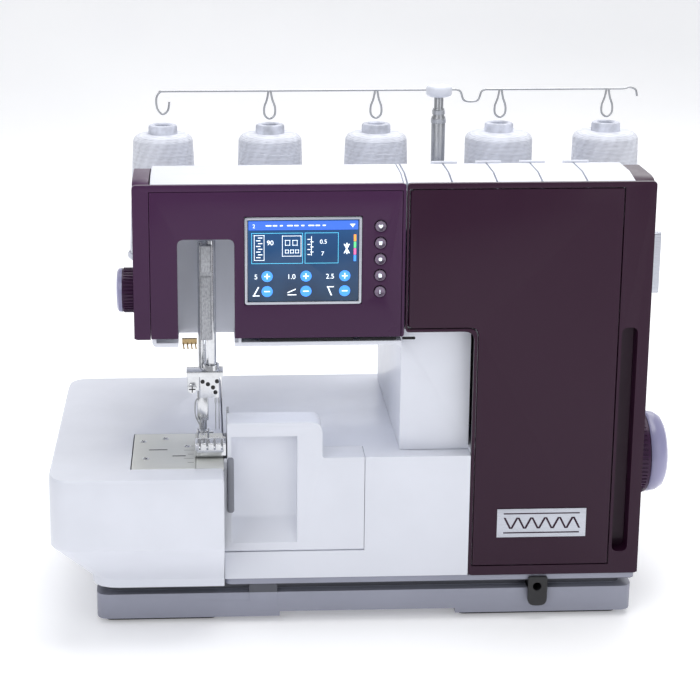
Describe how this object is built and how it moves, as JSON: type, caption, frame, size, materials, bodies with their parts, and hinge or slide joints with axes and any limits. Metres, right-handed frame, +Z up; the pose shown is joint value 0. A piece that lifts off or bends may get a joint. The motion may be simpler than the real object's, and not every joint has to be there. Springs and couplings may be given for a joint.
{
  "type": "overlock sewing machine",
  "caption": "Overlock sewing machine with a free arm, removable bed, touch screen head, opening front, side handwheel and a telescopic guide mast over a rear thread stand.",
  "frame": {"origin": "middle of the machine's box on the table it stands on", "axes": "+X to the user's right along the machine's length, +Y from the user to the rear, +Z up"},
  "size_m": [0.4968, 0.3372, 0.3792],
  "materials": {
    "base_grey": "satin grey",
    "rubber": "matte",
    "black_plastic": "fine matte",
    "white_casing": "smooth white",
    "arm_grey": "cast, satin",
    "satin_plate": "finely brushed",
    "steel": "ground",
    "chrome": "polished",
    "plum_gloss": "plum with fine metallic flake",
    "plum_door": "dark plum, satin",
    "brushed_silver": "brushed",
    "screen_glass": "dark blue lit glass",
    "button_chrome": "polished",
    "motor_iron": "cast, painted",
    "lamp_lens": "frosted lens",
    "white_thread": "cross-wound thread"
  },
  "bodies": {
    "machine": {"base_tray": "base_grey", "foot_pad_left": "rubber", "foot_pad_right": "rubber", "drive_belt": "rubber", "power_inlet": "black_plastic", "bed_casing": "white_casing", "body_casing": "white_casing", "rear_cover": "white_casing", "top_cover": "white_casing", "thread_guide_block": "white_casing", "threading_panel": "white_casing", "thread_stand": "white_casing", "free_arm": "arm_grey", "needle_plate": "satin_plate", "stitch_plate": "satin_plate", "mast_lower": "steel", "needle_rail": "steel", "head_frame": "plum_gloss", "head_panel": "plum_gloss", "front_frame": "plum_door", "screen_bezel": "brushed_silver", "touch_screen": "screen_glass", "drive_motor": "motor_iron", "sewing_lamp": "lamp_lens", "thread_cone_1": "white_thread", "thread_cone_2": "white_thread", "thread_cone_3": "white_thread", "thread_cone_4": "white_thread", "thread_cone_5": "white_thread"},
    "door": {"front_door": "plum_door", "badge_plate": "brushed_silver"},
    "looper_cover": {"looper_cover": "white_casing"},
    "bed_extension": {"bed_extension": "white_casing"},
    "handwheel": {"handwheel": "plum_gloss", "main_shaft": "steel"},
    "motor_pulley": {"motor_pulley": "steel"},
    "needle_bar": {"needle_bar": "chrome", "needle_clamp": "chrome", "needle_left": "steel", "needle_right": "steel"},
    "presser_bar": {"presser_bar": "chrome"},
    "presser_foot": {"presser_foot": "chrome"},
    "feed_dog": {"feed_dog": "steel"},
    "upper_knife": {"upper_knife": "steel"},
    "upper_looper": {"upper_looper": "chrome"},
    "lower_looper": {"lower_looper": "chrome"},
    "side_dial": {"side_dial": "plum_gloss"},
    "side_lever": {"side_lever": "brushed_silver"},
    "presser_lift_lever": {"presser_lift_lever": "black_plastic"},
    "knee_lift": {"knee_lift_socket": "black_plastic"},
    "power_switch": {"power_switch": "black_plastic"},
    "mast_middle": {"mast_middle": "steel"},
    "mast_upper": {"mast_upper": "steel", "mast_cap": "white_casing", "guide_wire": "steel"},
    "button_1": {"button_1": "button_chrome"},
    "button_2": {"button_2": "button_chrome"},
    "button_3": {"button_3": "button_chrome"},
    "button_4": {"button_4": "button_chrome"},
    "button_5": {"button_5": "button_chrome"}
  },
  "joints": [
    {"name": "door_hinge", "type": "hinge", "parent": "machine", "child": "door", "pos_m": [0.0205, -0.1234, 0.29], "axis": [0, 0, 1], "range_deg": [-100, 0]},
    {"name": "looper_cover_hinge", "type": "hinge", "parent": "machine", "child": "looper_cover", "pos_m": [-0.0676, -0.1239, 0.0619], "axis": [1, 0, 0], "range_deg": [0, 88]},
    {"name": "bed_extension_slide", "type": "slide", "parent": "machine", "child": "bed_extension", "axis": [-1, 0, 0], "range_m": [0, 0.112]},
    {"name": "handwheel_turn", "type": "hinge", "parent": "machine", "child": "handwheel", "pos_m": [-0.1276, -0.0454, 0.1083], "axis": [1, 0, 0], "continuous": true},
    {"name": "motor_turn", "type": "hinge", "parent": "machine", "child": "motor_pulley", "pos_m": [-0.1276, -0.0454, 0.1963], "axis": [1, 0, 0], "continuous": true},
    {"name": "needle_bar_stroke", "type": "slide", "parent": "machine", "child": "needle_bar", "axis": [0, 0, 1], "range_m": [-0.026, 0.0005]},
    {"name": "presser_lift", "type": "slide", "parent": "machine", "child": "presser_bar", "axis": [0, 0, 1], "range_m": [0, 0.008]},
    {"name": "foot_tilt", "type": "hinge", "parent": "presser_bar", "child": "presser_foot", "pos_m": [-0.1343, -0.0924, 0.1458], "axis": [-1, 0, 0], "range_deg": [0, 9]},
    {"name": "feed_stroke", "type": "slide", "parent": "machine", "child": "feed_dog", "axis": [0, 1, 0], "range_m": [-0.002, 0.002]},
    {"name": "knife_stroke", "type": "slide", "parent": "machine", "child": "upper_knife", "axis": [0, 0, 1], "range_m": [-0.006, 0.002]},
    {"name": "upper_looper_swing", "type": "hinge", "parent": "machine", "child": "upper_looper", "pos_m": [-0.0656, -0.0914, 0.08], "axis": [0, 1, 0], "range_deg": [-16, 12]},
    {"name": "lower_looper_swing", "type": "hinge", "parent": "machine", "child": "lower_looper", "pos_m": [-0.0896, -0.0814, 0.076], "axis": [0, 1, 0], "range_deg": [-20, 14]},
    {"name": "side_dial_turn", "type": "hinge", "parent": "machine", "child": "side_dial", "pos_m": [-0.184, -0.0654, 0.252], "axis": [1, 0, 0], "range_deg": [-135, 135]},
    {"name": "side_lever_turn", "type": "hinge", "parent": "machine", "child": "side_lever", "pos_m": [0.1991, -0.0854, 0.275], "axis": [1, 0, 0], "range_deg": [-8, 8]},
    {"name": "lift_lever_turn", "type": "hinge", "parent": "machine", "child": "presser_lift_lever", "pos_m": [-0.1116, 0.0496, 0.2305], "axis": [1, 0, 0], "range_deg": [0, 20]},
    {"name": "knee_lift_turn", "type": "hinge", "parent": "machine", "child": "knee_lift", "pos_m": [0.1218, -0.1254, 0.028], "axis": [0, 1, 0], "range_deg": [0, 12]},
    {"name": "power_switch_rock", "type": "hinge", "parent": "machine", "child": "power_switch", "pos_m": [0.1991, 0.0046, 0.064], "axis": [0, 1, 0], "range_deg": [0, 8]},
    {"name": "mast_middle_slide", "type": "slide", "parent": "machine", "child": "mast_middle", "axis": [0, 0, 1], "range_m": [0, 0.06]},
    {"name": "mast_upper_slide", "type": "slide", "parent": "mast_middle", "child": "mast_upper", "axis": [0, 0, 1], "range_m": [0, 0.06]},
    {"name": "button_1_press", "type": "slide", "parent": "machine", "child": "button_1", "axis": [0, 1, 0], "range_m": [0, 0.0009], "stiffness_N_per_m": 600},
    {"name": "button_2_press", "type": "slide", "parent": "machine", "child": "button_2", "axis": [0, 1, 0], "range_m": [0, 0.0009], "stiffness_N_per_m": 600},
    {"name": "button_3_press", "type": "slide", "parent": "machine", "child": "button_3", "axis": [0, 1, 0], "range_m": [0, 0.0009], "stiffness_N_per_m": 600},
    {"name": "button_4_press", "type": "slide", "parent": "machine", "child": "button_4", "axis": [0, 1, 0], "range_m": [0, 0.0009], "stiffness_N_per_m": 600},
    {"name": "button_5_press", "type": "slide", "parent": "machine", "child": "button_5", "axis": [0, 1, 0], "range_m": [0, 0.0009], "stiffness_N_per_m": 600}
  ],
  "couplings": [
    {"joint": "motor_turn", "follows": "handwheel_turn", "ratio": 2.8889},
    {"joint": "lift_lever_turn", "follows": "presser_lift", "rad_per_m": 43},
    {"joint": "knee_lift_turn", "follows": "presser_lift", "rad_per_m": 26}
  ]
}
